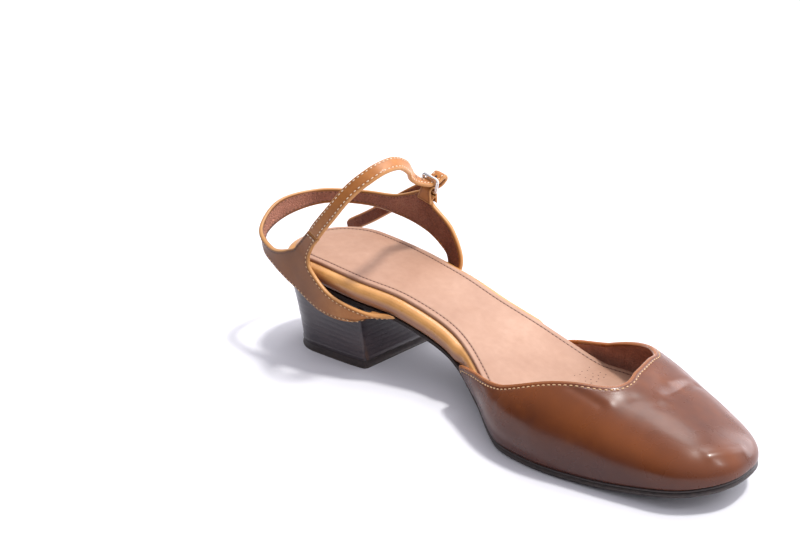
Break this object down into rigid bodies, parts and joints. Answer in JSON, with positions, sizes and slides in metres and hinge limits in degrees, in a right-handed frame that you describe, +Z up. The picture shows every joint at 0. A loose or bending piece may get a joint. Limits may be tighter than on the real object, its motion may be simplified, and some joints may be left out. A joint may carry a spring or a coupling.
{
  "type": "slingback sandal",
  "caption": "Closed-toe slingback sandal with a buckled ankle strap and a low stacked block heel.",
  "frame": {"origin": "on the floor, under the middle of the heel", "axes": "+X towards the toe, +Y towards the outer side of the foot, +Z up"},
  "size_m": [0.2692, 0.0842, 0.1015],
  "materials": {
    "vamp_leather": "glossy, with darker shading at the edges",
    "strap_leather": "satin",
    "rim_leather": "semi-gloss",
    "sock_leather": "matte",
    "sole_rubber": "satin",
    "heel_stack": "polished stacked lifts",
    "buckle_metal": "polished"
  },
  "bodies": {
    "root": {"outsole": "sole_rubber", "heel": "heel_stack", "top_lift": "sole_rubber", "footbed": "rim_leather", "sock": "sock_leather", "vamp": "vamp_leather", "sling_strap": "strap_leather", "ankle_strap": "strap_leather", "buckle_frame": "buckle_metal", "buckle_tab": "strap_leather"}
  },
  "joints": []
}
